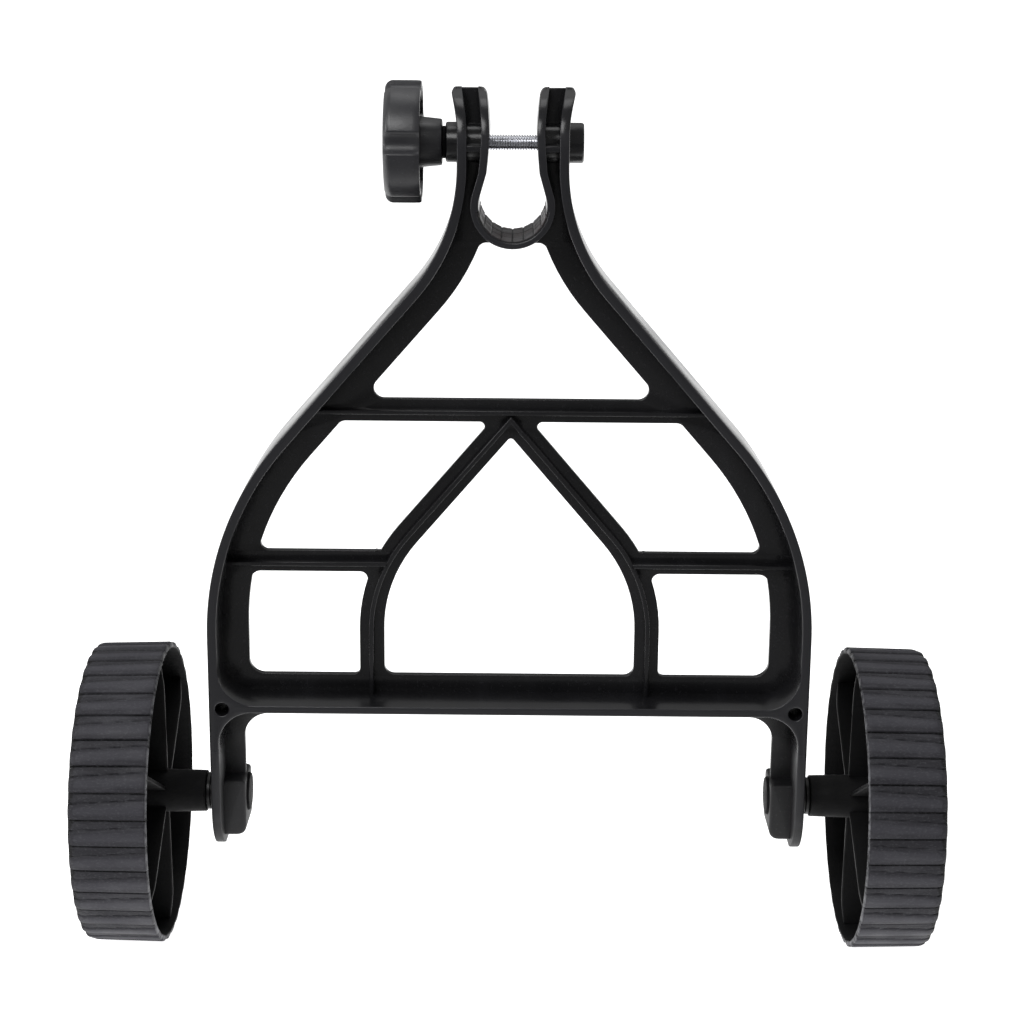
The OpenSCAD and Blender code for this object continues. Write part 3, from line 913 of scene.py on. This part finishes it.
piece("grip_liner", [liner_shell()], GRIP_LINER, "stand", ["tube_liner"], sharp=28)
hidden_head = hexagon(10, 40.2, 43.8, SCREW_Z, 2.0, -1)
piece("clamp_screw_threaded", [screw_shell(), hidden_head], ZINC_STEEL, "knob_set", ["clamp_screw"],
      sharp=70)
piece("knob_five_lobed", knob_shells(), KNOB_PLASTIC, "knob_set", ["knob"], sharp=40)
piece("knob_washer", [washer_shell()], BLACK_STEEL, "screw_carrier", ["clamp_washer"])
piece("clamp_hex_nut", [clamp_nut_shell()], ZINC_STEEL, "stand", ["clamp_nut"])

# ---- wheels ----


def lug_depth(phase, share):
    """Depth of the tread's pattern: phase runs over a lug, share from the inner edge to the outer."""
    low = 0.22 + 0.18 * share
    groove = 1.3 * np.clip(1 - np.minimum(phase, 1 - phase) / 0.08, 0, 1)
    facet = np.where(phase < low, 0.9 - 0.35 * phase / low, 0.0)
    step = 1.05 * np.clip(1 - np.abs(phase - low) / 0.07, 0, 1)
    across = np.clip((phase - low) / (1 - low), 0, 1)
    lug = np.where(phase >= low, 0.55 * np.abs(2 * across - 0.9) ** 2.0, 0.0)
    return np.maximum(np.maximum(groove, facet), np.maximum(lug, step))


def rim_shell(side, samples=20):
    """The rim: lugs between straight grooves outside, each with a slanted step, and smooth inside."""
    turns = np.arange(LUGS * samples) / samples
    angles = 2 * np.pi * (turns - 0.5 + LUG_TURN[side]) / LUGS - np.pi / 2
    tread = [(IN_X, LIP_R), (IN_X + 0.15, 59.0), (IN_X + 0.5, 59.75), (IN_X + 1.2, TREAD_R)]
    for x in np.linspace(IN_X + 3, OUT_X - 4, 10):
        tread.append((x, TREAD_R - TREAD_FALL * (x - IN_X) / TREAD_RUN))
    tread += [(OUT_X - 2.6, 59.3), (OUT_X - 1.3, 58.95), (OUT_X - 0.5, 58.5), (OUT_X - 0.1, 57.9),
              (OUT_X, 57.2)]
    inner = [(OUT_X, 56.7), (OUT_X - 0.3, 56.2), (OUT_X - 1, 56.1), (DISC_X + 3, 56.1), (DISC_X, 56.6),
             (IN_X + 6, 57.3), (IN_X + 1.0, 57.35), (IN_X + 0.3, 57.45), (IN_X, 57.7)]
    rows = []
    for x, r in tread:
        share = (x - IN_X) / (OUT_X - IN_X)
        fade = min(1.0, (x - IN_X) / 0.5 + 0.8)
        rows.append((x, r - fade * lug_depth(turns % 1, share)))
    return grid(turned(rows + inner, angles, AXLE_Z, side))


def disc_shell(side):
    """The wheel's outer disc, thickest at the hub."""
    disc = [(DISC_X - 1, 11.0), (DISC_X - 1, 56.9), (DISC_X + 1.6, 56.9), (DISC_X + 2.6, 15.0),
            (DISC_X + 2.6, 11.0)]
    return lathe(soften(disc, [0, 0, 0, 3, 0], closed=True), AXLE_Z, side, 96, closed=True)


def hub_shell(side):
    """The hub tube and the cup at its outer end, which takes washer, nut and cap."""
    end, bore = 163.2, 10.0
    hub = [(HUB_X, AXLE_BORE), (HUB_X, 8.25), (HUB_X + 29, 8.9), (150.0, 12.0), (155.5, CUP_R),
           (end, CUP_R), (end, bore), (SEAT_X, bore), (SEAT_X, AXLE_BORE)]
    hub = soften(hub, [0.3, 0.7, 1.5, 2, 0, 0.6, 0.3, 0, 0], closed=True)
    return lathe(hub, AXLE_Z, side, 72, closed=True)


def wheel_rib(side, angle):
    """One rib from the hub to the rim, with a rounded inner edge that slopes back near the rim."""
    half = 0.82
    base = half + 0.12
    sections = []
    for u in [7.4, *np.linspace(9, 55.5, 16), 57.0]:
        edge = IN_X + 0.8 + 1.6 * max(0.0, (u - 44) / 13) ** 1.5
        x = np.array([edge + 0.5, edge + 0.1, edge, edge + 0.1, edge + 0.5, DISC_X, DISC_X])
        aside = np.array([-half, -half * 0.75, 0.0, half * 0.75, half, base, -base])
        sections.append(spoke(side * x, u, aside, angle, AXLE_Z))
    return capped(np.stack(sections, 1))


def wheel_shells(side):
    """Rim, outer disc, hub and six inner ribs."""
    angles = [math.radians(360 / RIBS * i + RIB_TURN) for i in range(RIBS)]
    return [rim_shell(side), disc_shell(side), hub_shell(side)] + [wheel_rib(side, a) for a in angles]


def axle_shell(side, name):
    """The axle with its flat head on the inner side of the leg."""
    low, high = cad(f"{name}_axle")
    tip = max(abs(low[0]), abs(high[0]))
    head = min(abs(low[0]), abs(high[0]))
    rod = [(head, 0), (head, 7.2), (head + 1, 7.8), (head + 1, AXLE_R), (tip, AXLE_R), (tip, 0)]
    return lathe(soften(rod, [0, 0.35, 0.2, 0, 0.6, 0]), AXLE_Z, side)


def spacer_shell(side):
    """Tube with two collars between the leg and the hub."""
    start, end, waist_r, collar_r = HALF_W, HUB_X - 0.1, 6.2, 7.4
    spacer = [(start, AXLE_BORE), (start, collar_r), (start + 1.6, collar_r), (start + 1.6, waist_r),
              (end - 1.5, waist_r), (end - 1.5, collar_r), (end, collar_r), (end, AXLE_BORE)]
    spacer = soften(spacer, [0, 0.3, 0.3, 0.2, 0.2, 0.3, 0.3, 0], closed=True)
    return lathe(spacer, AXLE_Z, side, closed=True)


def hub_washer_shell(side):
    """Washer on the seat in the hub's cup."""
    ring = [(WASHER_X, AXLE_BORE), (WASHER_X, 8), (NUT_X, 8), (NUT_X, AXLE_BORE)]
    return lathe(soften(ring, 0.3, closed=True), AXLE_Z, side, closed=True)


def cap_shell(side):
    """Push-in cap that closes the hub's cup."""
    lip_x, skirt_x = 163.2, 157.2
    cap = [(163.5, 0), (163.5, 8.4), (skirt_x, 8.4), (skirt_x, 9.95), (lip_x, 9.95), (lip_x, CUP_R),
           (164.3, 12.6), (165.0, 9.5), (165.4, 0)]
    return lathe(soften(cap, [0, 0.3, 0.3, 0.3, 0, 0.25, 0.8, 3, 0]), AXLE_Z, side)


for side, name in ((1, "right"), (-1, "left")):
    wheel_set = f"{name}_wheel_set"
    lock_nut = hexagon(13, NUT_X, NUT_X + 6.5, AXLE_Z, 4.03, side)
    piece(f"{name}_wheel_ribbed", wheel_shells(side), WHEEL_PLASTIC, wheel_set, [f"{name}_wheel"],
          sharp=26)
    piece(f"{name}_axle_bolt", [axle_shell(side, name)], BLACK_STEEL, "stand", [f"{name}_axle"])
    piece(f"{name}_leg_spacer", [spacer_shell(side)], TRIM_PLASTIC, "stand", [f"{name}_spacer"])
    piece(f"{name}_hub_washer", [hub_washer_shell(side)], ZINC_STEEL, "stand", [f"{name}_outer_washer"])
    piece(f"{name}_lock_nut", [lock_nut], ZINC_STEEL, "stand", [f"{name}_axle_nut"])
    piece(f"{name}_push_cap", [cap_shell(side)], TRIM_PLASTIC, wheel_set, [f"{name}_hub_cap"])

# ---- floor, light and camera ----


def floor():
    """White paper that falls off to grey in front of the picture, so that front faces mirror less light."""
    half = 60.0
    paper_front, fade_end, glow_end = -0.085, -0.3, -0.2
    mesh = bpy.data.meshes.new("studio_floor")
    corners = [(-half, -half, 0), (half, -half, 0), (half, half, 0), (-half, half, 0)]
    mesh.from_pydata(corners, [], [(0, 1, 2, 3)])
    made = bpy.data.objects.new("studio_floor", mesh)
    bpy.context.scene.collection.objects.link(made)
    p = Paint("studio_paper", (0.86, 0.86, 0.86), 0.9, specular=0.1)
    p.tint(p.noise(3, 2, low=0.3, high=0.7), (0.88, 0.88, 0.88), 0.6)
    p.tint(p.remap(p.axis("Y"), paper_front, fade_end), (0.3, 0.3, 0.3), 1.0)
    p.shader.inputs["Emission Color"].default_value = (1, 1, 1, 1)
    glow = p.remap(p.axis("Y"), glow_end, paper_front, 0.01, 0.95)
    p.feed(p.shader.inputs["Emission Strength"], glow)
    mesh.materials.append(p.done())


def softbox(name, place, width, height, power):
    """A soft rectangular light that faces the object and that the camera doesn't see."""
    aim = Vector((0, 0, 0.17))
    data = bpy.data.lights.new(name, "AREA")
    data.shape = "RECTANGLE"
    data.size, data.size_y, data.energy = width, height, power
    made = bpy.data.objects.new(name, data)
    bpy.context.scene.collection.objects.link(made)
    made.location = place
    made.rotation_euler = (aim - Vector(place)).to_track_quat("-Z", "Y").to_euler()
    made.visible_camera = False


def surround():
    """World light by direction: dim on the camera's side, full towards the back corners, dimmest behind."""
    world = bpy.data.worlds.new("studio")
    bpy.context.scene.world = world
    world.use_nodes = True
    tree = world.node_tree
    background = tree.nodes["Background"]
    place = tree.nodes.new("ShaderNodeTexCoord")
    split = tree.nodes.new("ShaderNodeSeparateXYZ")
    tree.links.new(place.outputs["Generated"], split.inputs[0])
    ramp = tree.nodes.new("ShaderNodeValToRGB")
    tones = ramp.color_ramp.elements
    tones[0].position, tones[0].color = 0.0, (0.3, 0.3, 0.3, 1)
    tones[1].position, tones[1].color = 0.95, (0.15, 0.15, 0.15, 1)
    side_light = tones.new(0.45)
    side_light.color = (1.0, 1.0, 1.0, 1)
    tree.links.new(split.outputs["Y"], ramp.inputs["Fac"])
    tree.links.new(ramp.outputs["Color"], background.inputs["Strength"])
    background.inputs["Color"].default_value = (1, 1, 1, 1)


def camera():
    """The photo's camera, fitted to the object's measured edges."""
    pitch, roll, yaw = math.radians(14.52), -0.0084, math.radians(0.056)
    right = Vector((1, 0, 0))
    look = Vector((0, math.cos(pitch), -math.sin(pitch)))
    down = Vector((0, -math.sin(pitch), -math.cos(pitch)))
    x = math.cos(roll) * right + math.sin(roll) * down
    y = math.sin(roll) * right - math.cos(roll) * down
    data = bpy.data.cameras.new("photo_camera")
    data.sensor_width, data.lens = 36.0, 75.4
    data.clip_start, data.clip_end = 0.05, 60
    made = bpy.data.objects.new("photo_camera", data)
    bpy.context.scene.collection.objects.link(made)
    place = Vector((0.00145, -0.8093, 0.3867))
    turn = Matrix.Rotation(yaw, 4, "Z") @ Matrix((x, y, -look)).transposed().to_4x4()
    made.matrix_world = Matrix.Translation(place) @ turn
    bpy.context.scene.camera = made


floor()
surround()
softbox("key_box", (-0.5, -0.9, 1.15), 1.0, 0.5, 9)
softbox("sky_box", (0, 0.1, 1.6), 0.6, 0.5, 2)
softbox("left_box", (-1.25, -0.3, 0.5), 0.2, 1.0, 5)
softbox("right_box", (1.25, -0.3, 0.5), 0.2, 1.0, 1.6)
camera()
bpy.context.scene.view_settings.view_transform = "Standard"
